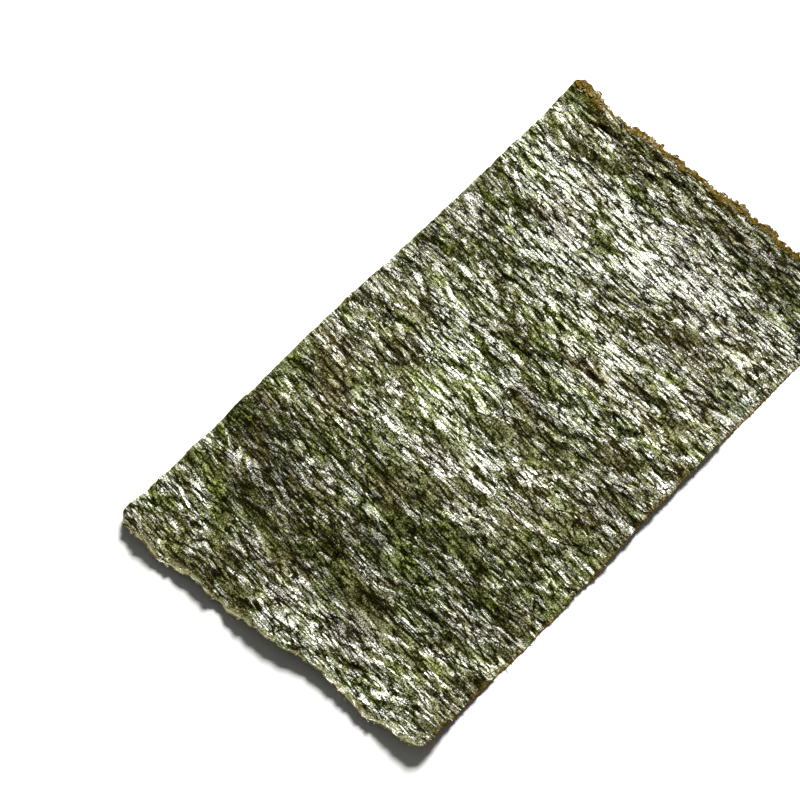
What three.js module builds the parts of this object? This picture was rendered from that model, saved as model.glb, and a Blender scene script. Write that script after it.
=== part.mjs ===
// Half sheet of nori: a thin pressed sheet of dried laver, cut once along one long edge.
// Millimetres, +Z up. X runs along the length, Y across it towards the knife cut, and the sheet lies on z = 0.
import * as THREE from "three";

// Driving dimensions.
const LENGTH = 195;
const WIDTH = 107;
const THICKNESS = 0.25;

// The sheet isn't quite square: each short edge leans in by this much at the right edge.
const LEAN = 1.6;

// The drying mat leaves straight ridges across the sheet, parallel to its short edges.
const RIDGES = 46;
const RIDGE_PITCH = LENGTH / RIDGES;
const RIDGE_HEIGHT = 0.1;

// The mesh has a column at each ridge and at each furrow between ridges.
const COLUMNS = 2 * RIDGES;
const ROWS = 24;
const BORDER_COLUMNS = 2;
const BORDER_ROWS = 1;
const SHORT_EDGE_STEPS = 90;

// The mould leaves three rough edges, and the knife leaves the left one nearly straight.
// depth is how far an edge is eaten in at most, and run is the length of its longest bites.
const EDGES = {
  near: { depth: 2.6, run: 18, seed: 244 },
  far: { depth: 3.2, run: 20, seed: 89 },
  left: { depth: 0.3, run: 30, seed: 3 },
  right: { depth: 1.1, run: 24, seed: 204 },
};
const FAR_TAB = { length: 18.5, depth: 1.7, slope: 2.5 };
const CORNER_WEAR = { nearLeft: 2.4, nearRight: 1.1, farLeft: 0.5, farRight: 1.5 };
const WEAR_REACH = 3;
const EDGE_REACH = 16;

// How the sheet lies: a long low buckle, crumples on it, and short edges and corners that lift.
// The crumples lean over towards the far edge, more so at the left edge than at the right.
const BUCKLE = { height: 1.0, span: 160, skew: 0.1, phase: 0.31 };
const CRUMPLES = [
  { height: 1.6, length: 12, width: 28, seed: 5 },
  { height: 0.65, length: 5.5, width: 15, seed: 7 },
];
const SLANT = { right: 0.3, left: 0.95 };
const NEAR_LIFT = { height: 3.4, reach: 46 };
const FAR_LIFT = { height: 1.7, reach: 34 };
const CORNER_LIFTS = [
  { x: -1, y: -1, height: 1.0 },
  { x: 1, y: -1, height: 2.2 },
  { x: 1, y: 1, height: 1.2 },
];
const CORNER_LIFT_REACH = 48;
const CLEARANCE = 0.75;
const CONTACT_ROUNDING = 0.35;

// Clumped and thin places in the pressed laver, as a share of the thickness.
const CLUMP = { share: 0.8, length: 4.5, width: 9, seed: 6 };

const LAVER = { color: "#2b2f15", roughness: 0.45, metalness: 0 };

const { lerp, smoothstep } = THREE.MathUtils;

// A fixed number from 0 to 1 for each grid point and seed.
function scatter(i, j, seed) {
  const value = Math.sin(i * 127.1 + j * 311.7 + seed * 74.7) * 43758.5453;
  return value - Math.floor(value);
}

// Smooth noise from 0 to 1, with one random value at each whole number of x and y.
function noise(x, y, seed) {
  const i = Math.floor(x);
  const j = Math.floor(y);
  const across = smoothstep(x - i, 0, 1);
  const row = (k) => lerp(scatter(i, k, seed), scatter(i + 1, k, seed), across);
  return lerp(row(j), row(j + 1), smoothstep(y - j, 0, 1));
}

// How far a rough edge is eaten in at a place along it: long bites with shorter ones on them.
function bites(along, { depth, run, seed }) {
  const long = noise(along / run, 0.5, seed);
  const middle = noise((3 * along) / run, 0.5, seed + 10);
  const short = noise((9 * along) / run, 0.5, seed + 20);
  return depth * smoothstep(0.5 * long + 0.32 * middle + 0.18 * short, 0.2, 0.8);
}

// How far an edge falls back at a distance from a worn corner.
function wear(distance, amount) {
  return amount * Math.max(0, 1 - distance / (WEAR_REACH * amount)) ** 2;
}

// Each edge's distance inside the plain rectangle, at a place along it.
const inset = {
  near: (y) =>
    bites(y, EDGES.near) + wear(WIDTH / 2 - y, CORNER_WEAR.nearLeft) + wear(WIDTH / 2 + y, CORNER_WEAR.nearRight),
  far: (y) =>
    bites(y, EDGES.far) +
    FAR_TAB.depth * smoothstep(WIDTH / 2 - y - FAR_TAB.length, 0, FAR_TAB.slope) +
    wear(WIDTH / 2 - y, CORNER_WEAR.farLeft) +
    wear(WIDTH / 2 + y, CORNER_WEAR.farRight),
  left: (x) =>
    bites(x, EDGES.left) + wear(LENGTH / 2 + x, CORNER_WEAR.nearLeft) + wear(LENGTH / 2 - x, CORNER_WEAR.farLeft),
  right: (x) =>
    bites(x, EDGES.right) + wear(LENGTH / 2 + x, CORNER_WEAR.nearRight) + wear(LENGTH / 2 - x, CORNER_WEAR.farRight),
};

// Share of the full length that the sheet has at a place across it.
function taper(y) {
  return 1 - (LEAN / (LENGTH / 2)) * (0.5 - y / WIDTH);
}

// Moves a point of the plain rectangle to its place inside the rough outline. Points far from an edge keep theirs
// but for the taper.
function placed({ x, y }) {
  const pull = (distance) => Math.max(0, 1 - distance / EDGE_REACH) ** 2;
  return new THREE.Vector2(
    taper(y) * (x + inset.near(y) * pull(LENGTH / 2 + x) - inset.far(y) * pull(LENGTH / 2 - x)),
    y + inset.right(x) * pull(WIDTH / 2 + y) - inset.left(x) * pull(WIDTH / 2 - y),
  );
}

// A rise from 0 to height over the last reach before an edge or corner.
function rise(distance, { height, reach }) {
  return height * Math.max(0, 1 - distance / reach) ** 2;
}

// A place shifted along the length so that crumples lean over: the sum of the slant from the right edge to there.
function slanted(x, y) {
  const share = y / WIDTH + 0.5;
  return x - WIDTH * (SLANT.right * share + 0.5 * (SLANT.left - SLANT.right) * share ** 2);
}

// Height of the underside: its clearance, the buckle, crumples, ridges and lifts, lying flat where they would sink
// below z = 0.
function undersideAt(x, y) {
  const turn = 2 * Math.PI * (x / BUCKLE.span + (BUCKLE.skew * y) / WIDTH + BUCKLE.phase);
  const buckle = BUCKLE.height * Math.sin(turn);
  const crumples = CRUMPLES.map(({ height, length, width, seed }) => {
    return height * (noise(slanted(x, y) / length, y / width, seed) - 0.5);
  });
  const ridge = 0.5 * RIDGE_HEIGHT * Math.cos((2 * Math.PI * (x / taper(y) + LENGTH / 2)) / RIDGE_PITCH);
  const edges = rise(LENGTH / 2 + x, NEAR_LIFT) + rise(LENGTH / 2 - x, FAR_LIFT);
  const corners = CORNER_LIFTS.map((corner) => {
    const distance = Math.hypot(x - (corner.x * LENGTH) / 2, y - (corner.y * WIDTH) / 2);
    return rise(distance, { height: corner.height, reach: CORNER_LIFT_REACH });
  });
  const free = [...crumples, ...corners].reduce((sum, height) => sum + height, CLEARANCE + buckle + ridge + edges);
  if (free >= CONTACT_ROUNDING) return free;
  return Math.max(0, free + CONTACT_ROUNDING) ** 2 / (4 * CONTACT_ROUNDING);
}

function thicknessAt(x, y) {
  return THICKNESS * (1 + CLUMP.share * (noise(x / CLUMP.length, y / CLUMP.width, CLUMP.seed) - 0.5));
}

// The regular middle of the sheet, and its border points in order round it.
function middleGrid() {
  const columns = COLUMNS - 2 * BORDER_COLUMNS;
  const rows = ROWS - 2 * BORDER_ROWS;
  const plane = new THREE.PlaneGeometry((LENGTH * columns) / COLUMNS, (WIDTH * rows) / ROWS, columns, rows);
  const position = plane.getAttribute("position");
  const points = Array.from({ length: position.count }, (_, k) => new THREE.Vector2(position.getX(k), position.getY(k)));
  const border = [];
  const add = (column, row, turn) => border.push({ index: row * (columns + 1) + column, turn });
  for (let i = 0; i < columns; i++) add(i, rows, i / columns);
  for (let j = 0; j < rows; j++) add(columns, rows - j, 1 + j / rows);
  for (let i = 0; i < columns; i++) add(columns - i, 0, 2 + i / columns);
  for (let j = 0; j < rows; j++) add(0, j, 3 + j / rows);
  return { points, triangles: Array.from(plane.index.array), border };
}

// Points round the plain rectangle, from the near right corner by the right, far, left and near edges.
function outlineLoop(points) {
  const corners = [
    new THREE.Vector2(-LENGTH / 2, -WIDTH / 2),
    new THREE.Vector2(LENGTH / 2, -WIDTH / 2),
    new THREE.Vector2(LENGTH / 2, WIDTH / 2),
    new THREE.Vector2(-LENGTH / 2, WIDTH / 2),
  ];
  const loop = [];
  corners.forEach((corner, side) => {
    const steps = side % 2 ? SHORT_EDGE_STEPS : COLUMNS;
    for (let k = 0; k < steps; k++) {
      loop.push({ index: points.length, turn: side + k / steps });
      points.push(corner.clone().lerp(corners[(side + 1) % 4], k / steps));
    }
  });
  return loop;
}

// Triangles between two loops: whichever loop comes to its next point first steps on.
function joinLoops(inner, outer) {
  const step = (loop, k) => (k < loop.length ? loop[k] : { index: loop[0].index, turn: 4 });
  const triangles = [];
  let i = 0;
  let o = 0;
  while (i < inner.length || o < outer.length) {
    const innerNext = i < inner.length ? step(inner, i + 1).turn : Infinity;
    const outerNext = o < outer.length ? step(outer, o + 1).turn : Infinity;
    if (outerNext <= innerNext) {
      triangles.push(step(outer, o).index, step(outer, o + 1).index, step(inner, i).index);
      o += 1;
    } else {
      triangles.push(step(inner, i).index, step(outer, o).index, step(inner, i + 1).index);
      i += 1;
    }
  }
  return triangles;
}

// The closed sheet: both faces split alike, the upper one over the lower, and a wall round the edge.
function sheetGeometry() {
  const { points, triangles, border } = middleGrid();
  const outline = outlineLoop(points);
  const face = triangles.concat(joinLoops(border, outline));
  const count = points.length;
  const flat = points.map(placed);
  const lower = flat.flatMap(({ x, y }) => [x, y, undersideAt(x, y)]);
  const upper = flat.flatMap(({ x, y }) => [x, y, undersideAt(x, y) + thicknessAt(x, y)]);
  const index = face.map((k) => k + count);
  for (let k = 0; k < face.length; k += 3) index.push(face[k], face[k + 2], face[k + 1]);
  outline.forEach(({ index: a }, k) => {
    const b = outline[(k + 1) % outline.length].index;
    index.push(a, b, b + count, a, b + count, a + count);
  });
  const geometry = new THREE.BufferGeometry();
  geometry.setAttribute("position", new THREE.Float32BufferAttribute(lower.concat(upper), 3));
  geometry.setIndex(index);
  geometry.computeVertexNormals();
  return geometry;
}

const sheet = new THREE.Mesh(sheetGeometry(), new THREE.MeshStandardMaterial(LAVER));
sheet.name = "nori_sheet";

const half = new THREE.Group();
half.add(sheet);

export default half;
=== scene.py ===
import math

import bpy
import numpy as np
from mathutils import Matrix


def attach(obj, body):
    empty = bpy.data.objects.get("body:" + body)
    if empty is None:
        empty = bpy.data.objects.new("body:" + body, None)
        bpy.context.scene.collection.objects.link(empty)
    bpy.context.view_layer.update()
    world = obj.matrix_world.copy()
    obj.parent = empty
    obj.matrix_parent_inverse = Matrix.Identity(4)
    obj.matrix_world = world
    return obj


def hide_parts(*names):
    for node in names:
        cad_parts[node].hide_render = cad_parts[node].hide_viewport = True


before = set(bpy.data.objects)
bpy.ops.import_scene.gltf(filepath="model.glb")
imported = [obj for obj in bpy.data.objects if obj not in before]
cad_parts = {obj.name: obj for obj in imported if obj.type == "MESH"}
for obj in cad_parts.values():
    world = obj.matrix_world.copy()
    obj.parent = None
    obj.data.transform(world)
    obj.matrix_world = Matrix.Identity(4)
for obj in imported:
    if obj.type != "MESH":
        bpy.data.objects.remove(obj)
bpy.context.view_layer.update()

mm = 0.001  # sizes below are in millimetres, and the scene is in metres
sharpAngle = math.radians(70)  # an edge that bends more than this stays sharp


# Noise and small helpers

def scatter(i, j, seed):
    # a fixed number from 0 to 1 for whole i and j: the fraction left of a large multiple of a sine
    value = np.sin(i * 127.1 + j * 311.7 + seed * 74.7) * 43758.5453
    return value - np.floor(value)


def ease(t):
    # from 0 to 1 with level ends: 3 t squared less 2 t cubed
    t = np.clip(t, 0, 1)
    return t * t * (3 - 2 * t)


def noise(x, y, seed):
    # smooth noise from 0 to 1: the random corner values of each unit square, mixed by eased distances
    i, j = np.floor(x), np.floor(y)
    a, b = ease(x - i), ease(y - j)
    lower = scatter(i, j, seed) * (1 - a) + scatter(i + 1, j, seed) * a
    upper = scatter(i, j + 1, seed) * (1 - a) + scatter(i + 1, j + 1, seed) * a
    return lower * (1 - b) + upper * b


def toLinear(hexColour):
    # sRGB hex to the linear values that shaders take
    parts = [int(hexColour[k:k + 2], 16) / 255 for k in (1, 3, 5)]
    linear = [p / 12.92 if p <= 0.04045 else ((p + 0.055) / 1.055) ** 2.4 for p in parts]
    return (*linear, 1)


def addNode(tree, kind, settings, inputs):
    # one node with its settings, and each input either a value or another node's output
    made = tree.nodes.new(kind)
    for name, value in settings.items():
        setattr(made, name, value)
    for key, value in inputs.items():
        if isinstance(value, bpy.types.NodeSocket):
            tree.links.new(value, made.inputs[key])
        else:
            made.inputs[key].default_value = value
    return made


def makePiece(name, places, faces, material, attributes):
    # a mesh from whole arrays: places in mm, and faces as a list of arrays of triangles or quads
    mesh = bpy.data.meshes.new(name)
    corners = np.concatenate([f.ravel() for f in faces]).astype(np.int32)
    sizes = np.concatenate([np.full(len(f), f.shape[1]) for f in faces])
    starts = (np.cumsum(sizes) - sizes).astype(np.int32)
    mesh.vertices.add(len(places))
    mesh.vertices.foreach_set("co", (places * mm).astype(np.float32).ravel())
    mesh.loops.add(len(corners))
    mesh.loops.foreach_set("vertex_index", corners)
    mesh.polygons.add(len(sizes))
    mesh.polygons.foreach_set("loop_start", starts)
    mesh.update(calc_edges=True)
    mesh.validate()
    for key, values in attributes.items():
        layer = mesh.attributes.new(key, "FLOAT", "POINT")
        layer.data.foreach_set("value", values.astype(np.float32).ravel())
    mesh.shade_smooth()
    mesh.set_sharp_from_angle(angle=sharpAngle)
    mesh.materials.append(material)
    piece = bpy.data.objects.new(name, mesh)
    bpy.context.scene.collection.objects.link(piece)
    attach(piece, "root")
    print(name, "has", len(places), "points and", int((sizes - 2).sum()), "triangles")
    return piece


# Form of the sheet, the same as the solid's

sheet = {
    "length": 195,
    "width": 107,
    "lean": 1.6,  # each short edge leans in by this much at the right edge
    "thickness": 0.25,
    "ridges": 46,  # lines that the drying mat leaves across the sheet
    "edges": {
        "near": {"depth": 2.6, "run": 18, "seed": 244},
        "far": {"depth": 3.2, "run": 20, "seed": 89},
        "left": {"depth": 0.3, "run": 30, "seed": 3},  # the knife cut
        "right": {"depth": 1.1, "run": 24, "seed": 204},
    },
    "tab": {"length": 18.5, "depth": 1.7, "slope": 2.5},
    "cornerWear": {"nearLeft": 2.4, "nearRight": 1.1, "farLeft": 0.5, "farRight": 1.5},
    "wearReach": 3,
    "edgeReach": 16,
    "fray": {  # finer bites than the solid's
        "near": {"depth": 0.5, "run": 2.2, "reach": 3.5},
        "far": {"depth": 1.5, "run": 6.0, "reach": 7.0},
        "left": {"depth": 0.05, "run": 2.2, "reach": 3.5},
        "right": {"depth": 0.15, "run": 2.2, "reach": 3.5},
    },
    "buckle": {"height": 1.0, "span": 160, "skew": 0.1, "phase": 0.31},
    "crumples": [
        {"height": 1.6, "length": 12, "width": 28, "seed": 5},
        {"height": 0.65, "length": 5.5, "width": 15, "seed": 7},
    ],
    "slant": (0.3, 0.95),  # how far crumples lean over to the far edge, at the right and left edges
    "nearLift": (3.4, 46),  # height and reach
    "farLift": (1.7, 34),
    "cornerLifts": [(-1, -1, 1.0), (1, -1, 2.2), (1, 1, 1.2)],  # which corner, and height
    "cornerReach": 48,
    "clearance": 0.75,
    "contactRounding": 0.35,
}
halfLength = sheet["length"] / 2
halfWidth = sheet["width"] / 2


def bites(along, edge):
    # how far a rough edge is eaten in: long bites, with shorter ones a third and a ninth as long on them
    long = noise(along / edge["run"], 0.5, edge["seed"])
    middle = noise(3 * along / edge["run"], 0.5, edge["seed"] + 10)
    short = noise(9 * along / edge["run"], 0.5, edge["seed"] + 20)
    return edge["depth"] * ease((0.5 * long + 0.32 * middle + 0.18 * short - 0.2) / 0.6)


def wear(distance, corner):
    # how far an edge falls back at a distance from a worn corner: a square that fades over the wear's reach
    amount = sheet["cornerWear"][corner]
    return amount * np.maximum(0, 1 - distance / (sheet["wearReach"] * amount)) ** 2


def inset(side, along):
    # an edge's distance inside the plain rectangle: its bites, wear at both ends, and the far edge's tab
    half, ends = {
        "near": (halfWidth, ("nearRight", "nearLeft")),
        "far": (halfWidth, ("farRight", "farLeft")),
        "left": (halfLength, ("nearLeft", "farLeft")),
        "right": (halfLength, ("nearRight", "farRight")),
    }[side]
    depth = bites(along, sheet["edges"][side]) + wear(half + along, ends[0]) + wear(half - along, ends[1])
    if side == "far":
        tab = sheet["tab"]
        depth = depth + tab["depth"] * ease((half - along - tab["length"]) / tab["slope"])
    return depth


def fray(side, along):
    # finer bites along an edge, with others less than half as long on them
    edge = sheet["fray"][side]
    seed = sheet["edges"][side]["seed"] + 30
    rough = 0.6 * noise(along / edge["run"], 0.5, seed)
    fine = 0.4 * noise(2.7 * along / edge["run"], 0.5, seed + 5)
    return edge["depth"] * ease((rough + fine - 0.15) / 0.7)


def taper(y):
    # share of the full length that the sheet has at a place across it
    return 1 - sheet["lean"] / halfLength * (0.5 - y / sheet["width"])


def placed(x, y):
    # a point of the plain rectangle at its place in the rough outline: each edge's bites fade inwards, as the
    # square of the share of their reach that is left
    def bitten(side, along, distance):
        coarse = inset(side, along) * np.maximum(0, 1 - distance / sheet["edgeReach"]) ** 2
        reach = sheet["fray"][side]["reach"]
        return coarse + fray(side, along) * np.maximum(0, 1 - distance / reach) ** 2

    movedX = x + bitten("near", y, halfLength + x) - bitten("far", y, halfLength - x)
    movedY = y + bitten("right", x, halfWidth + y) - bitten("left", x, halfWidth - y)
    return taper(y) * movedX, movedY


def rise(distance, height, reach):
    # from 0 to the height over the last reach before an edge or corner, as a square
    return height * np.maximum(0, 1 - distance / reach) ** 2


def slanted(x, y, slant):
    # a place shifted along the length, so that what is drawn there leans over: the sum of the slant from the
    # right edge to there
    least, most = slant
    share = y / sheet["width"] + 0.5
    return x - sheet["width"] * (least * share + 0.5 * (most - least) * share ** 2)


def lie(x, y):
    # height of the lower face before it settles: a slanting sine of buckles, noise crumples and lifted edges
    buckle = sheet["buckle"]
    turn = 2 * np.pi * (x / buckle["span"] + buckle["skew"] * y / sheet["width"] + buckle["phase"])
    free = buckle["height"] * np.sin(turn) + sheet["clearance"]
    shifted = slanted(x, y, sheet["slant"])
    for crumple in sheet["crumples"]:
        fold = noise(shifted / crumple["length"], y / crumple["width"], crumple["seed"])
        free = free + crumple["height"] * (fold - 0.5)
    free = free + rise(halfLength + x, *sheet["nearLift"]) + rise(halfLength - x, *sheet["farLift"])
    for sideX, sideY, height in sheet["cornerLifts"]:
        distance = np.hypot(x - sideX * halfLength, y - sideY * halfWidth)
        free = free + rise(distance, height, sheet["cornerReach"])
    return free


def settled(height):
    # a height as it is, but eased as a square to level ground where it would sink below that
    rounding = sheet["contactRounding"]
    return np.where(height >= rounding, height, np.maximum(0, height + rounding) ** 2 / (4 * rounding))


# Relief of the upper face: pressed fronds, wrinkles and mat lines

face = {
    "columns": 552,
    "rows": 150,
    "underStep": 3,  # the lower face has one cell for this many of the upper one's each way
    "leastThickness": 0.07,
    "shared": 0.3,  # how much of the scraps' relief shows on both faces
    "calm": {"across": 6.0, "along": 18.0, "seed": 84},  # smooth places: size across and along the grain
    "calmLeast": 0.15,  # share of the scraps' relief that is left in them
    "calmRange": (0.25, 0.75),  # of their noise, from smooth to rough
    "rightwardPaintedLight": 0.6,  # painted light: the laver's colour is made paler, and its skin glossier, at the right edge than at the left, so that side looks more brightly lit
}
grain = {
    "slant": (0.03, 0.32),  # how far fronds and wrinkles lean over, at the right and left edges
    "bend": 1.6,  # how far its lines wander, for each mm between them
    "bendSize": (9, 14),  # of the wandering, along the length and the width
}
swells = [  # waves of the whole sheet between the mat's sticks: size across and along the grain, and height
    {"across": 9.0, "along": 22.0, "height": 0.9, "seed": 81},
    {"across": 3.6, "along": 14.0, "height": 0.3, "seed": 82},
]
fronds = {
    "broad": {  # whole fronds, each with its own hue
        "count": 420,
        "seed": 12,
        "halfLength": (6.0, 17.0),
        "halfBreadth": (3.0, 8.0),
        "turn": math.radians(22),  # how much their directions differ
        "step": 0.03,  # thickness of one frond
        "levels": 0.5,  # how far a frond levels what lies under it
        "tilt": (0.08, 0.02),  # across and along it
        "crinkle": 0.04,
        "crinkleSpan": (1.6, 3.0),
        "edge": 0.4,
    },
    "scraps": {  # torn scraps of them
        "count": 3600,
        "seed": 11,
        "halfLength": (4.0, 11.0),
        "halfBreadth": (0.6, 1.9),
        "turn": math.radians(9),
        "step": 0.015,
        "levels": 0.75,
        "tilt": (0.16, 0.02),
        "crinkle": 0.012,
        "crinkleSpan": (0.45, 0.9),
        "edge": 0.3,
    },
}
frondShape = {
    "lobes": [(3, 0.2), (5, 0.13), (9, 0.09)],  # waves round the outline: how many, and their share of it
    "reach": 1.5,  # how far out the lobes may come, for each mm of the half length
    "crinkleStretch": 2.5,  # length of a crinkle for each mm of its breadth
    "crinkleApart": 31,  # shift of the crinkles from one frond to the next
    "crinkleSeed": 71,
}
wrinkles = [  # size across and along the grain, and height
    {"across": 2.4, "along": 10.0, "height": 0.03, "seed": 42},
    {"across": 1.2, "along": 5.0, "height": 0.015, "seed": 43},
]
matLines = {
    "ridge": 0.084,  # height of the ridges that the mat leaves
    "ridgePatches": (26, 22, 62),  # where they show: size along the length and the width, and seed
    "depth": 0.08,  # of the furrows between them
    "width": 0.25,
    "furrowPatches": (13, 16, 61),
    "contrast": 2.2,  # how sharply the furrows come and go
    "faint": 0.6,  # how much of them is faint
}


def grainLean(y):
    # the angle of the grain from straight across the sheet: the arctangent of its slant at that place
    least, most = grain["slant"]
    return np.arctan(least + (most - least) * (y / sheet["width"] + 0.5))


def layFronds(x, y, kind):
    # overlapping lobed fronds laid one by one: each levels what lies under it, then adds its thickness, its
    # tilt and noise crinkles along it. Also gives each place the tone of the frond on top there
    rng = np.random.default_rng(kind["seed"])
    height, tone = np.zeros(x.shape), np.full(x.shape, 0.5)
    xs, ys = x[0], y[:, 0]
    for k in range(kind["count"]):
        cx, cy = rng.uniform(-halfLength, halfLength), rng.uniform(-halfWidth, halfWidth)
        long = rng.uniform(*kind["halfLength"])
        broad = rng.uniform(*kind["halfBreadth"])
        turn = rng.normal(-grainLean(cy), kind["turn"])
        tilts = rng.normal(0, kind["tilt"], 2)
        waves = rng.uniform(0, 2 * np.pi, 4)
        span = rng.uniform(*kind["crinkleSpan"])
        shade = rng.random()
        reach = frondShape["reach"] * max(long, broad)
        i0, i1 = np.searchsorted(xs, (cx - reach, cx + reach))
        j0, j1 = np.searchsorted(ys, (cy - reach, cy + reach))
        if i1 - i0 < 2 or j1 - j0 < 2:
            continue
        dx, dy = x[j0:j1, i0:i1] - cx, y[j0:j1, i0:i1] - cy
        across = dx * math.cos(turn) + dy * math.sin(turn)
        along = dy * math.cos(turn) - dx * math.sin(turn)
        angle = np.arctan2(along / long, across / broad)
        outline = 1
        for (lobes, depth), wave in zip(frondShape["lobes"], waves[[0, 1, 3]]):
            outline = outline + depth * np.sin(lobes * angle + wave)
        cover = ease((outline - np.hypot(along / long, across / broad)) * broad / kind["edge"])
        under = height[j0:j1, i0:i1]
        level = (under * cover).sum() / max(cover.sum(), 1e-6)
        crinkleAcross = across / span + frondShape["crinkleApart"] * k
        crinkleAlong = along / (frondShape["crinkleStretch"] * span) + waves[2]
        crinkle = 2 * noise(crinkleAcross, crinkleAlong, frondShape["crinkleSeed"]) - 1
        slope = tilts[0] * across + tilts[1] * along + kind["crinkle"] * crinkle
        height[j0:j1, i0:i1] = under + cover * (kind["levels"] * (level - under) + kind["step"] + slope)
        tone[j0:j1, i0:i1] = tone[j0:j1, i0:i1] * (1 - cover) + shade * cover
    return height - height.mean(), tone


def drawnNoise(x, y, layer):
    # noise drawn out along the grain, on a place bent by a slower noise
    sizeX, sizeY = grain["bendSize"]
    bend = grain["bend"] * layer["across"] * (noise(x / sizeX, y / sizeY, layer["seed"] + 50) - 0.5)
    bent = slanted(x, y, grain["slant"]) + bend
    return noise(bent / layer["across"], y / layer["along"], layer["seed"])


def folded(x, y, layers):
    # sum of drawn-out noises, each half as it is and half folded to a ridge
    total = np.zeros(x.shape)
    for layer in layers:
        ridge = 1 - np.abs(2 * drawnNoise(x, y, layer | {"seed": layer["seed"] + 20}) - 1)
        total = total + layer["height"] * (0.5 * drawnNoise(x, y, layer) + 0.5 * ridge)
    return total


def swell(x, y):
    # waves that both faces follow: folds, and a cosine of ridges left by the mat, which come and go by noise
    pitch = sheet["length"] / sheet["ridges"]
    ridges = 0.5 + 0.5 * np.cos(2 * np.pi * (x + halfLength) / pitch)
    sizeX, sizeY, seed = matLines["ridgePatches"]
    return folded(x, y, swells) + matLines["ridge"] * ridges * noise(x / sizeX, y / sizeY, seed)


def matFurrows(x, y):
    # a narrow furrow at each mat line: a bell curve of the distance to the nearest line, fading in and out
    pitch = sheet["length"] / sheet["ridges"]
    turns = (x + halfLength) / pitch
    offset = (turns - np.floor(turns) - 0.5) * pitch
    sizeX, sizeY, seed = matLines["furrowPatches"]
    strength = ease(matLines["contrast"] * noise(x / sizeX, y / sizeY, seed) - matLines["faint"])
    return -matLines["depth"] * strength * np.exp(-(offset / matLines["width"]) ** 2)


def gridQuads(columns, rows):
    # quads of a grid of points stored row by row
    first = (np.arange(rows)[:, None] * (columns + 1) + np.arange(columns)).ravel()
    return np.stack([first, first + 1, first + columns + 2, first + columns + 1], -1)


def gridBorder(columns, rows):
    # the points round a grid, anticlockwise from its first
    low = np.arange(columns)
    high = columns + (columns + 1) * np.arange(rows)
    top = (columns + 1) * rows + columns - np.arange(columns)
    back = (columns + 1) * (rows - np.arange(rows))
    return np.concatenate([low, high, top, back])


def rimTriangles(upper, lower, step):
    # the wall between the two faces: each side of the lower one takes fans of the upper points over it, from
    # both its ends, and one triangle between them
    start, end = lower, np.roll(lower, -1)
    over = [np.roll(upper, -k)[::step] for k in range(step + 1)]
    half = step // 2
    fans = [np.stack([start if k < half else end, over[k + 1], over[k]], -1) for k in range(step)]
    return np.concatenate(fans + [np.stack([start, end, over[half]], -1)])


edgeLines = {"far": (1, 0), "near": (-1, 0), "left": (0, 1), "right": (0, -1)}  # which way each edge faces
fringe = {  # brown and amber where an edge thins out
    "edges": {"far": (1.0, 4.0, 6), "right": (0.7, 0.5, 9)},  # strength, breadth and length of patches
    "seed": 91,
}
paleRimAndHighlight = {  # light line along an edge: partly the pale frayed edge, partly painted highlight where the edge catches the light
    "edges": {"near": (0.55, 2.2, 5), "left": (0.9, 0.3, 5)},
    "seed": 93,
}
edgePatches = {
    "contrast": 2.6,  # how much the breadth of a fringe or rim changes along its edge
    "faint": 0.6,
    "least": 0.02,
    "full": 1.2,  # full strength holds over the first fifth of the breadth
}


def edgeShare(x, y, colouring):
    # from 0 inside to an edge's strength at that edge, broken into patches by noise along it
    seed = colouring["seed"]
    share = np.zeros(np.broadcast(x, y).shape)
    for side, (strength, broad, run) in colouring["edges"].items():
        faceX, faceY = edgeLines[side]
        away = faceX ** 2 * (halfLength - faceX * x) + faceY ** 2 * (halfWidth - faceY * y)
        along = faceX * y + faceY * x
        patches = 0.6 * noise(along / run, 0.5, seed) + 0.4 * noise(3 * along / run, 0.5, seed + 1)
        breadth = edgePatches["contrast"] * patches - edgePatches["faint"]
        reach = broad * np.maximum(edgePatches["least"], breadth)
        share = np.maximum(share, strength * ease(edgePatches["full"] - away / reach))
    return share


def leastAround(values, reach):
    # the least of an array's values within so many steps of each place, along rows and then along columns
    for axis in (0, 1):
        ends = [(reach, reach) if k == axis else (0, 0) for k in (0, 1)]
        padded = np.pad(values, ends, "edge")
        values = np.lib.stride_tricks.sliding_window_view(padded, 2 * reach + 1, axis).min(-1)
    return values


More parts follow.
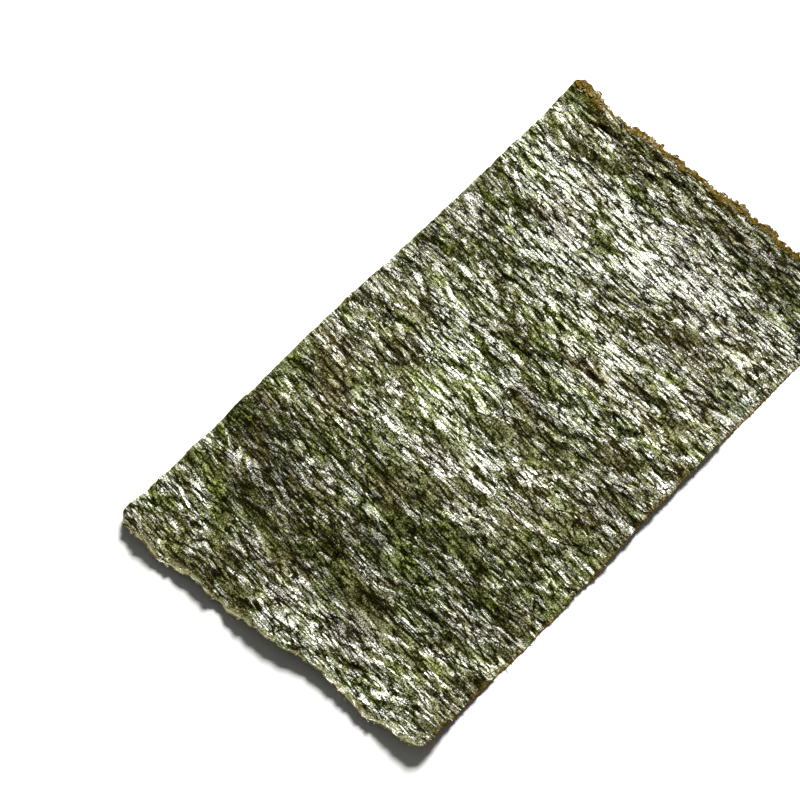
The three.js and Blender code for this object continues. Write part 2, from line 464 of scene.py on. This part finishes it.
def makeSheet(material):
    # the closed sheet, on one grid: a lower face that lies as the solid does, with the waves of drying, a
    # finer upper face over it by the thickness and the relief, and a wall round both
    columns, rows, step = face["columns"], face["rows"], face["underStep"]
    ys = np.linspace(-halfWidth, halfWidth, rows + 1)
    narrow = paleRimAndHighlight["edges"]["left"][1]  # the outermost rows of cells are as broad as this rim
    ys[[1, -2]] = (narrow - halfWidth, halfWidth - narrow)
    x, y = np.meshgrid(np.linspace(-halfLength, halfLength, columns + 1), ys)
    px, py = placed(x, y)
    broadRelief, hue = layFronds(x, y, fronds["broad"])
    scrapRelief, tone = layFronds(x, y, fronds["scraps"])
    smooth, rough = face["calmRange"]
    crumbled = ease((drawnNoise(x, y, face["calm"]) - smooth) / (rough - smooth))
    scrapRelief = scrapRelief * (face["calmLeast"] + (1 - face["calmLeast"]) * crumbled)
    waves = swell(x, y) + broadRelief + face["shared"] * scrapRelief
    low = settled(lie(px, py) + waves - waves.mean())
    wrinkled = folded(x, y, wrinkles)
    relief = (1 - face["shared"]) * scrapRelief + (wrinkled - wrinkled.mean()) + matFurrows(x, y)
    high = low + np.maximum(face["leastThickness"], sheet["thickness"] + relief)
    upper = np.stack([px, py, high], -1).reshape(-1, 3)
    lower = np.stack([px, py, leastAround(low, step - 1)], -1)[::step, ::step].reshape(-1, 3)
    lowColumns, lowRows = columns // step, rows // step
    first = len(upper)
    lowerQuads = gridQuads(lowColumns, lowRows)[:, ::-1] + first
    rim = rimTriangles(gridBorder(columns, rows), gridBorder(lowColumns, lowRows) + first, step)
    shares = {
        # the tone also carries the painted light that grows towards the right edge
        "tone": tone - face["rightwardPaintedLight"] * y / sheet["width"],
        "hue": hue,
        "fringe": edgeShare(x, y, fringe),
        "rim": edgeShare(x, y, paleRimAndHighlight),
    }
    attributes = {key: np.concatenate([v.ravel(), v[::step, ::step].ravel()]) for key, v in shares.items()}
    places = np.concatenate([upper, lower])
    faces = [gridQuads(columns, rows), lowerQuads, rim]
    piece = makePiece("noriSheet", places, faces, material, attributes)
    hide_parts("nori_sheet")
    return high, hue


# Shreds of laver pressed into the upper face

shredKinds = {  # across and along are the spacing of the grid that they are scattered on
    "noriShreds": {
        "across": 2.0, "along": 3.6, "halfLength": (2.0, 6.0), "halfBreadth": (0.25, 0.8), "stations": 6,
        "rise": (0.015, 0.04), "turn": 14, "tilt": 0.13, "seed": 21,
    },
    "noriFlakes": {
        "across": 1.6, "along": 2.2, "halfLength": (0.6, 1.8), "halfBreadth": (0.3, 0.7), "stations": 4,
        "rise": (0.01, 0.03), "turn": 18, "tilt": 0.05, "seed": 22,
    },
    "noriGrains": {
        "across": 1.6, "along": 2.4, "halfLength": (0.3, 0.8), "halfBreadth": (0.12, 0.25), "stations": 3,
        "rise": (0.02, 0.04), "turn": 55, "tilt": 0.15, "seed": 23,
    },
}
shredShape = {
    "border": 1.0,  # the grid ends this far inside the sheet's edges
    "inside": 0.15,  # and no shred comes nearer to them than this
    "swirl": 12,  # degrees by which neighbours turn together
    "swirlSize": 19,
    "bend": 0.12,
    "taper": 0.94,
    "uneven": 0.3,
    "sunk": 0.03,  # how far edges lie below the face
    "deepest": 0.06,
}


def sampled(values, x, y):
    # an upper face's array at any place of the plain rectangle: mixed from the four grid points around it
    rows, columns = values.shape
    hair = 0.001  # keeps the far and left edges in the last cells
    u = np.clip((x / halfLength + 1) / 2 * (columns - 1), 0, columns - 1 - hair)
    v = np.clip((y / halfWidth + 1) / 2 * (rows - 1), 0, rows - 1 - hair)
    i, j = u.astype(int), v.astype(int)
    a, b = u - i, v - j
    lower = values[j, i] * (1 - a) + values[j, i + 1] * a
    upper = values[j + 1, i] * (1 - a) + values[j + 1, i + 1] * a
    return lower * (1 - b) + upper * b


def makeShreds(name, upperFace, hues, material):
    # strips with a low ridge along the middle, on a jittered grid: stations along each strip, and at each
    # station a left edge, a ridge and a right edge. They taper to both ends and follow the face under them
    kind = shredKinds[name]
    rng = np.random.default_rng(kind["seed"])
    endX, endY = halfLength - shredShape["border"], halfWidth - shredShape["border"]
    across, along = np.meshgrid(np.arange(-endX, endX, kind["across"]), np.arange(-endY, endY, kind["along"]))
    count = across.size
    single = (count, 1, 1)  # one value for each strip
    cx = across.reshape(single) + rng.uniform(-0.5, 0.5, single) * kind["across"]
    cy = along.reshape(single) + rng.uniform(-0.5, 0.5, single) * kind["along"]
    size = shredShape["swirlSize"]
    swirl = shredShape["swirl"] * (2 * noise(cx / size, cy / size, kind["seed"]) - 1)
    turn = np.radians(swirl + rng.normal(0, kind["turn"], single)) - grainLean(cy)
    long = rng.uniform(*kind["halfLength"], single)
    broad = rng.uniform(*kind["halfBreadth"], single)
    high = rng.uniform(*kind["rise"], single)
    tilt = rng.normal(0, kind["tilt"], single)
    bend = rng.normal(0, shredShape["bend"], single)
    # each strip's tone also carries the painted light that grows towards the right edge
    shade = rng.random(single) - face["rightwardPaintedLight"] * cy / sheet["width"]
    stations = np.linspace(-1, 1, kind["stations"])[None, :, None]
    sides = np.array([-1.0, 0.0, 1.0])[None, None, :]
    uneven = 1 + shredShape["uneven"] * rng.uniform(-1, 1, (count, kind["stations"], 1))
    narrow = np.sqrt(1 - shredShape["taper"] * stations ** 2) * uneven
    offset = sides * broad * narrow + bend * long * stations ** 2
    run = stations * long
    mostX, mostY = halfLength - shredShape["inside"], halfWidth - shredShape["inside"]
    x = np.clip(cx + offset * np.cos(turn) - run * np.sin(turn), -mostX, mostX)
    y = np.clip(cy + offset * np.sin(turn) + run * np.cos(turn), -mostY, mostY)
    crown = high * narrow * (1 - sides ** 2)
    lift = np.maximum(-shredShape["deepest"], crown + tilt * offset - shredShape["sunk"])
    px, py = placed(x, y)
    places = np.stack([px, py, sampled(upperFace, x, y) + lift], -1).reshape(-1, 3)

    # quads round each strip, and a triangle at each end of it
    each, spans = 3 * kind["stations"], kind["stations"] - 1
    first = each * np.arange(count)[:, None, None]
    row = 3 * np.arange(spans)[None, :, None]
    side = np.arange(3)[None, None, :]
    start, end = first + row + side, first + row + (side + 1) % 3
    walls = np.stack([end, start, start + 3, end + 3], -1).reshape(-1, 4)
    begin = each * np.arange(count)[:, None] + np.arange(3)
    finish = begin[:, ::-1] + 3 * spans
    attributes = {
        "tone": np.repeat(shade, each),
        "hue": sampled(hues, x, y),
        "fringe": edgeShare(x, y, fringe),
        "rim": edgeShare(x, y, paleRimAndHighlight),
    }
    makePiece(name, places, [walls, begin, finish], material, attributes)


# Crumbs and fibres along the edges

crumbKinds = [  # inside is how far inside an edge they lie, and how much that varies
    # fringe and rim give the range of each crumb's share of amber and of the pale rim colour, which is partly
    # painted highlight
    {
        "side": "far", "count": 360, "inside": (1.4, 0.6),
        "halfLength": (0.4, 1.8), "halfBreadth": (0.4, 1.2),
        "thickness": 0.12, "tilt": 0.1, "fringe": (0.5, 1.0), "rim": (0.0, 0.0), "seed": 31,
    },
    {
        "side": "near", "count": 280, "inside": (0.9, 0.45),
        "halfLength": (0.3, 1.2), "halfBreadth": (0.2, 0.7),
        "thickness": 0.1, "tilt": 0.12, "fringe": (0.0, 0.3), "rim": (0.0, 0.7), "seed": 32,
    },
    {
        "side": "right", "count": 700, "inside": (0.3, 0.25),
        "halfLength": (0.2, 0.7), "halfBreadth": (0.06, 0.2),
        "thickness": 0.08, "tilt": 0.2, "fringe": (0.1, 0.7), "rim": (0.0, 0.1), "seed": 33,
    },
    {
        "side": "right", "count": 44, "inside": (0.0, 0.2),
        "halfLength": (0.8, 2.4), "halfBreadth": (0.05, 0.09),
        "thickness": 0.05, "tilt": 0.15, "fringe": (0.6, 1.0), "rim": (0.0, 0.0), "seed": 34,
    },
    {
        "side": "left", "count": 160, "inside": (0.3, 0.2),
        "halfLength": (0.2, 0.8), "halfBreadth": (0.05, 0.12),
        "thickness": 0.05, "tilt": 0.15, "fringe": (0.0, 0.3), "rim": (0.0, 0.8), "seed": 35,
    },
]
crumbShape = {
    "corners": 9,
    "spread": 0.98,  # share of an edge's length that has crumbs
    "jitter": 0.3,  # of the corners round a crumb, as a share of their spacing
    "uneven": (0.55, 1.2),  # of its radius
    "sunk": 0.3,  # how far its middle lies below the upper face, as a share of the sheet's thickness
}


def crumbPlaces(kind, upperFace, rng):
    # flat many-cornered crumbs with a middle above and below, each lying across an edge's line at any turn:
    # corners round an ellipse of uneven radius, on a tilted plane at the height of the sheet's edge
    count, corners = kind["count"], crumbShape["corners"]
    faceX, faceY = edgeLines[kind["side"]]
    spread = crumbShape["spread"]
    along = rng.uniform(-spread, spread, count) * (halfWidth if faceX else halfLength)
    inside = rng.normal(*kind["inside"], count)
    x = faceX * (halfLength - np.maximum(0, inside)) + abs(faceY) * along
    y = faceY * (halfWidth - np.maximum(0, inside)) + abs(faceX) * along
    cx, cy = placed(x, y)
    cx, cy = cx - faceX * np.minimum(0, inside), cy - faceY * np.minimum(0, inside)
    turn = rng.uniform(0, np.pi, count)[:, None]
    jitter = rng.uniform(-crumbShape["jitter"], crumbShape["jitter"], (count, corners))
    angle = 2 * np.pi * (np.arange(corners) + jitter) / corners
    uneven = rng.uniform(*crumbShape["uneven"], (count, corners))
    long = rng.uniform(*kind["halfLength"], count)[:, None] * uneven * np.cos(angle)
    broad = rng.uniform(*kind["halfBreadth"], count)[:, None] * uneven * np.sin(angle)
    dx, dy = long * np.cos(turn) - broad * np.sin(turn), long * np.sin(turn) + broad * np.cos(turn)
    dx, dy = np.pad(dx, ((0, 0), (0, 2))), np.pad(dy, ((0, 0), (0, 2)))
    tilts = rng.normal(0, kind["tilt"], (2, count, 1))
    middle = sampled(upperFace, x, y) - crumbShape["sunk"] * sheet["thickness"]
    half = 0.5 * kind["thickness"]
    lens = np.zeros(corners + 2)
    lens[-2:] = (half, -half)
    z = np.maximum(half, middle[:, None] + tilts[0] * dx + tilts[1] * dy + lens)
    places = np.stack([cx[:, None] + dx, cy[:, None] + dy, z], -1).reshape(-1, 3)
    return places, x, y


def makeCrumbs(upperFace, hues, material):
    # torn crumbs of laver round the sheet, each a fan of triangles above and another below
    corners = crumbShape["corners"]
    corner = np.arange(corners)
    after = (corner + 1) % corners
    above = np.stack([np.full(corners, corners), corner, after], -1)
    below = np.stack([np.full(corners, corners + 1), after, corner], -1)
    fan = np.concatenate([above, below])
    each = corners + 2
    places, shares = [], {"tone": [], "hue": [], "fringe": [], "rim": []}
    for kind in crumbKinds:
        rng = np.random.default_rng(kind["seed"])
        kindPlaces, x, y = crumbPlaces(kind, upperFace, rng)
        places.append(kindPlaces)
        shares["tone"].append(rng.random(kind["count"]))
        shares["hue"].append(sampled(hues, x, y))
        for name in ("fringe", "rim"):
            shares[name].append(rng.uniform(*kind[name], kind["count"]))
    attributes = {name: np.repeat(np.concatenate(values), each) for name, values in shares.items()}
    count = len(attributes["tone"]) // each
    faces = (np.arange(count)[:, None, None] * each + fan).reshape(-1, 3)
    makePiece("noriCrumbs", np.concatenate(places), [faces], material, attributes)


# Materials

laver = {  # dried laver, pressed and toasted: dark olive membranes with a glossy skin
    # the lightest stops of the greens, browns and limes are partly painted highlight, lighter than the laver
    # itself
    "greens": [(0.0, "#0f0f04"), (0.27, "#25280a"), (0.5, "#444b1d"), (0.77, "#868d58"), (1.0, "#bec49c")],
    "browns": [(0.0, "#141006"), (0.27, "#2a250d"), (0.5, "#46411f"), (0.77, "#888259"), (1.0, "#c0ba9c")],
    "limes": [(0.0, "#0c0d02"), (0.27, "#272c06"), (0.5, "#4e5815"), (0.77, "#8c9540"), (1.0, "#c1c887")],
    "ambers": [(0.3, "#26190a"), (0.45, "#4d3d10"), (0.58, "#6d5b18"), (0.72, "#96640f")],
    # pale colour of the rims, partly painted highlight
    "rim": "#a8a47a",
    "lean": math.radians(9),  # of the grain, towards the far edge at the left
    "slice": 20.0,  # height in mm at which the patterns are cut, each giving another sheet
    "patterns": {  # noise: size in mm across the grain, share of that scale along it, and octaves
        # field gives broad lighter and darker patches of colour and gloss: partly random tone, partly painted
        # light and shade across the sheet in place of that of its large folds
        "field": (32.0, 0.3, 0.0),
        "cloud": (9.0, 0.35, 4.0),
        "blotch": (2.8, 0.35, 2.0),
        "fleck": (0.4, 0.7, 1.0),
        "crease": (1.6, 0.22, 1.0),
        "squiggle": (0.7, 1.0, 1.0),
        "fibre": (0.65, 0.1, 0.0),
        "dash": (0.45, 1.0, 0.0),
    },
    "lines": {  # thin lines where a pattern crosses its middle: from a line's bottom to its brim
        "crease": (0.02, 0.07),
        "squiggle": (0.0, 0.085),
    },
    # painted light and shade in the colour: fibre, dash, crease and squiggle follow the fine relief,
    # darkening its hollows and lines and lightening its tops, and tone carries the painted light towards the
    # right edge
    "shadeWeights": {
        "tone": 0.2,
        "field": 0.55,
        "fleck": 0.9,
        "blotch": 0.4,
        "cloud": 0.6,
        "fibre": 1.0,
        "dash": 0.8,
        "crease": 0.5,
        "squiggle": 0.5,
    },
    "shadeRange": (2.43, 3.73),  # from dark to light
    "hueWeights": {"hue": 1.0, "cloud": 0.8},
    "hueRange": (0.3, 1.4),  # from all brown to all green
    "limeWeights": {"blotch": 1.0, "cloud": 0.6, "hue": 0.15},
    "limeRange": (0.93, 1.25),  # from none to all lime
    "gapWeights": {"fibre": 0.6, "dash": 0.4},
    "gapRange": (0.36, 0.43),  # from a dull gap to a glossy membrane
    "depth": 0.08,
    "depthWeights": {"fibre": 0.25, "dash": 0.5, "crease": 0.12, "squiggle": 0.25},
    "depthShare": (0.1, 1.0),  # least and most of the fine relief, from smooth membranes to crumbled ones
    "smoothRange": (0.52, 0.4),  # of the blotches, from smooth to crumbled
    "glossWeights": {"tone": 0.5, "field": 0.9, "cloud": 1.4},
    "glossRange": (1.1, 1.65),  # from dull scraps to glossy ones
    "gloss": (0.2, 1.15),
    "glossIor": 1.6,
    "glossRoughness": 0.29,
    "roughness": 0.6,
}


def setStops(ramp, stops):
    # gives a colour ramp its stops, each a place from 0 to 1 and a colour
    elements = ramp.color_ramp.elements
    for position, colour in stops[1:-1]:
        elements.new(position)
    for element, (position, colour) in zip(elements, stops):
        element.position = position
        element.color = toLinear(colour)


def makeLaver():
    # membranes of a few cells give olive and brown shades that change from frond to frond and fleck to fleck,
    # sharp glints on their glossy skin with dull gaps and creases between, painted shade in those creases and
    # hollows and painted highlight on the tops, painted highlight at the light ends of the ramps and along
    # pale rims, a paler painted light towards the right edge, and amber where an edge thins out
    material = bpy.data.materials.new("dried laver")
    material.use_nodes = True
    tree = material.node_tree
    shader = tree.nodes["Principled BSDF"]
    place = addNode(tree, "ShaderNodeTexCoord", {}, {}).outputs["Object"]
    values = {}
    for name in ("tone", "hue", "fringe", "rim"):
        values[name] = addNode(tree, "ShaderNodeAttribute", {"attribute_name": name}, {}).outputs["Fac"]
    for name, (size, stretch, octaves) in laver["patterns"].items():
        drawn = addNode(tree, "ShaderNodeMapping", {"vector_type": "TEXTURE"}, {
            "Vector": place, "Location": (0, 0, laver["slice"] * mm), "Rotation": (0, 0, -laver["lean"]),
            "Scale": (1, 1 / stretch, 1)})
        values[name] = addNode(tree, "ShaderNodeTexNoise", {}, {
            "Vector": drawn.outputs["Vector"], "Scale": 1 / (size * mm), "Detail": octaves}).outputs["Fac"]
    for name, (bottom, brim) in laver["lines"].items():
        fromMiddle = addNode(tree, "ShaderNodeMath", {"operation": "SUBTRACT"}, {0: values[name], 1: 0.5})
        across = addNode(tree, "ShaderNodeMath", {"operation": "ABSOLUTE"}, {0: fromMiddle.outputs["Value"]})
        values[name] = addNode(tree, "ShaderNodeMapRange", {}, {
            "Value": across.outputs["Value"], "From Min": bottom, "From Max": brim}).outputs["Result"]

    # weighted sums of the patterns, for the shade, hue, gloss, gaps and fine relief
    sums = {}
    for purpose in ("shade", "hue", "lime", "gloss", "gap", "depth"):
        total = 0.0
        for name, weight in laver[purpose + "Weights"].items():
            total = addNode(tree, "ShaderNodeMath", {"operation": "MULTIPLY_ADD"}, {
                0: values[name], 1: weight, 2: total}).outputs["Value"]
        sums[purpose] = total

    # four of the sums, each as a share of the way across its range
    shares = {}
    for purpose in ("shade", "hue", "lime", "gap"):
        low, high = laver[purpose + "Range"]
        shares[purpose] = addNode(tree, "ShaderNodeMapRange", {}, {
            "Value": sums[purpose], "From Min": low, "From Max": high}).outputs["Result"]

    # colour: the shade from dark to light, which paints shade into creases and hollows and highlight onto
    # tops; the hue from brown to green and lime, then fringes, and pale rims that are partly painted
    # highlight
    ramps = {}
    for name in ("browns", "greens", "limes", "ambers"):
        factor = values["fleck"] if name == "ambers" else shares["shade"]
        ramp = addNode(tree, "ShaderNodeValToRGB", {}, {"Fac": factor})
        setStops(ramp, laver[name])
        ramps[name] = ramp.outputs["Color"]
    colour = ramps["browns"]
    layers = [
        (shares["hue"], ramps["greens"]),
        (shares["lime"], ramps["limes"]),
        (values["fringe"], ramps["ambers"]),
        (values["rim"], toLinear(laver["rim"])),
    ]
    for factor, over in layers:
        colour = addNode(tree, "ShaderNodeMix", {"data_type": "RGBA"}, {
            "Factor": factor, 6: colour, 7: over}).outputs[2]
    tree.links.new(colour, shader.inputs["Base Color"])

    # gloss: a skin over the membranes, more on some than on others, and none in gaps, lines and the fringe
    gloss = addNode(tree, "ShaderNodeMapRange", {}, {
        "Value": sums["gloss"], "From Min": laver["glossRange"][0], "From Max": laver["glossRange"][1],
        "To Min": laver["gloss"][0], "To Max": laver["gloss"][1]}).outputs["Result"]
    inside = addNode(tree, "ShaderNodeMath", {"operation": "SUBTRACT"}, {0: 1.0, 1: values["fringe"]})
    for share in (shares["gap"], values["crease"], values["squiggle"], inside.outputs["Value"]):
        gloss = addNode(tree, "ShaderNodeMath", {"operation": "MULTIPLY"}, {
            0: gloss, 1: share}).outputs["Value"]
    tree.links.new(gloss, shader.inputs["Coat Weight"])

    # fine relief: fibres, dashes and lines, strong on crumbled membranes and faint on smooth ones
    strength = addNode(tree, "ShaderNodeMapRange", {}, {
        "Value": values["blotch"], "From Min": laver["smoothRange"][0], "From Max": laver["smoothRange"][1],
        "To Min": laver["depthShare"][0], "To Max": laver["depthShare"][1]}).outputs["Result"]
    bump = addNode(tree, "ShaderNodeBump", {}, {
        "Height": sums["depth"], "Distance": laver["depth"] * mm, "Strength": strength}).outputs["Normal"]
    tree.links.new(bump, shader.inputs["Normal"])
    tree.links.new(bump, shader.inputs["Coat Normal"])
    shader.inputs["Coat IOR"].default_value = laver["glossIor"]
    shader.inputs["Coat Roughness"].default_value = laver["glossRoughness"]
    shader.inputs["Roughness"].default_value = laver["roughness"]
    shader.inputs["Specular IOR Level"].default_value = 0  # the skin gives all the gloss
    print("material made:", material.name)
    return material


# Floor, light and camera

studio = {
    "floor": "#fbfbf9",
    "floorRoughness": 0.9,
    "floorSize": 6,
    "sky": "#ffffff",
    "skyStrength": 0.1,
    "keyAngle": (118.5, 42.8),  # azimuth and elevation, as seen from the sheet
    "keyDistance": 1.1,
    "keySize": 0.4,
    "keyPower": 27.4,
    "keyColour": (1, 1, 0.98),
}
view = {
    "azimuth": -48.81,
    "elevation": 57.88,
    "distance": 1.079,
    "target": (-16.4, 21.5),
    "lens": 180,
    "sensor": 36,
}


def direction(azimuth, elevation):
    # unit vector towards a camera or light: azimuth 0 lies on -Y, and turns anticlockwise
    a, e = math.radians(azimuth), math.radians(elevation)
    return np.array([math.sin(a) * math.cos(e), -math.cos(a) * math.cos(e), math.sin(e)])


def aim(thing, azimuth, elevation):
    # turns a camera or light that stands in that direction to look back along it
    thing.rotation_euler = (math.radians(90 - elevation), 0, math.radians(azimuth))


def makeStudio():
    # a pale floor that gives a soft even white, a faint sky, and one broad lamp from behind the sheet
    material = bpy.data.materials.new("matt paper backdrop")
    material.use_nodes = True
    shader = material.node_tree.nodes["Principled BSDF"]
    shader.inputs["Base Color"].default_value = toLinear(studio["floor"])
    shader.inputs["Roughness"].default_value = studio["floorRoughness"]
    bpy.ops.mesh.primitive_plane_add(size=studio["floorSize"], location=(0, 0, 0))
    floor = bpy.context.object
    floor.name = "floor"
    floor.data.materials.append(material)
    scene = bpy.context.scene
    world = bpy.data.worlds.new("soft sky")
    world.use_nodes = True
    background = world.node_tree.nodes["Background"]
    background.inputs["Strength"].default_value = studio["skyStrength"]
    background.inputs["Color"].default_value = toLinear(studio["sky"])
    scene.world = world
    key = bpy.data.lights.new("key", "AREA")
    key.size = studio["keySize"]
    key.energy = studio["keyPower"]
    key.color = studio["keyColour"]
    keyObject = bpy.data.objects.new("key", key)
    keyObject.location = direction(*studio["keyAngle"]) * studio["keyDistance"]
    aim(keyObject, *studio["keyAngle"])
    scene.collection.objects.link(keyObject)
    scene.view_settings.view_transform = "Standard"
    print("studio lit")


def makeCamera():
    # a long lens, looking at its target from the view's direction
    camera = bpy.data.cameras.new("camera")
    camera.lens = view["lens"]
    camera.sensor_width = view["sensor"]
    holder = bpy.data.objects.new("camera", camera)
    target = np.array([*view["target"], 0]) * mm
    holder.location = target + direction(view["azimuth"], view["elevation"]) * view["distance"]
    aim(holder, view["azimuth"], view["elevation"])
    bpy.context.scene.collection.objects.link(holder)
    bpy.context.scene.camera = holder
    print("camera placed")


makeCamera()
dried = makeLaver()
upperFace, hues = makeSheet(dried)
for kindName in shredKinds:
    makeShreds(kindName, upperFace, hues, dried)
makeCrumbs(upperFace, hues, dried)
makeStudio()
